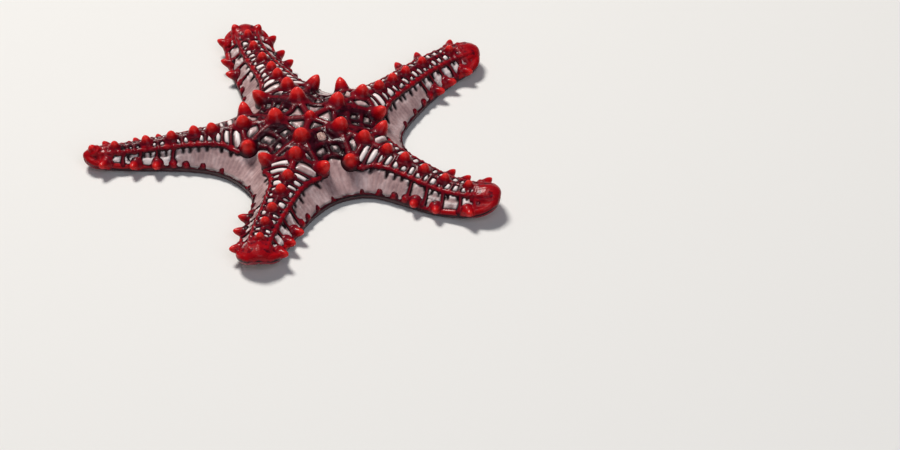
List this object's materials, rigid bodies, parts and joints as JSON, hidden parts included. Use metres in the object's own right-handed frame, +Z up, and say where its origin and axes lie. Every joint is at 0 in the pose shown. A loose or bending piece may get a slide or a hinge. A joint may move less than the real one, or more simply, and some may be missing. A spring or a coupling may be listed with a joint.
{
  "type": "red-knobbed starfish",
  "caption": "Red-knobbed starfish lying flat, a still life-size display model: domed disc, tapering arms with upturned tips, cone knobs on a netted back, grooves below.",
  "frame": {"origin": "on the ground, under the middle of the bounding box", "axes": "+Z up, the mouth side down; +X along the widest spread of the arms, to the side of the front right arm; the front arm points to -Y"},
  "size_m": [0.2298, 0.2172, 0.0314],
  "materials": {
    "netted_skin": "wet granular skin, grey with a raised dark red net and scarlet knobs",
    "tip_red": "wet granular skin, crimson",
    "madreporite": "matt, finely grooved chalky plate",
    "mouth": "soft wet skin"
  },
  "bodies": {
    "root": {"disc": "netted_skin", "arm_front_right": "netted_skin", "arm_back_right": "netted_skin", "arm_back_left": "netted_skin", "arm_left": "netted_skin", "arm_front": "netted_skin", "tip_front_right": "tip_red", "tip_back_right": "tip_red", "tip_back_left": "tip_red", "tip_left": "tip_red", "tip_front": "tip_red", "madreporite": "madreporite", "mouth": "mouth"}
  },
  "joints": []
}
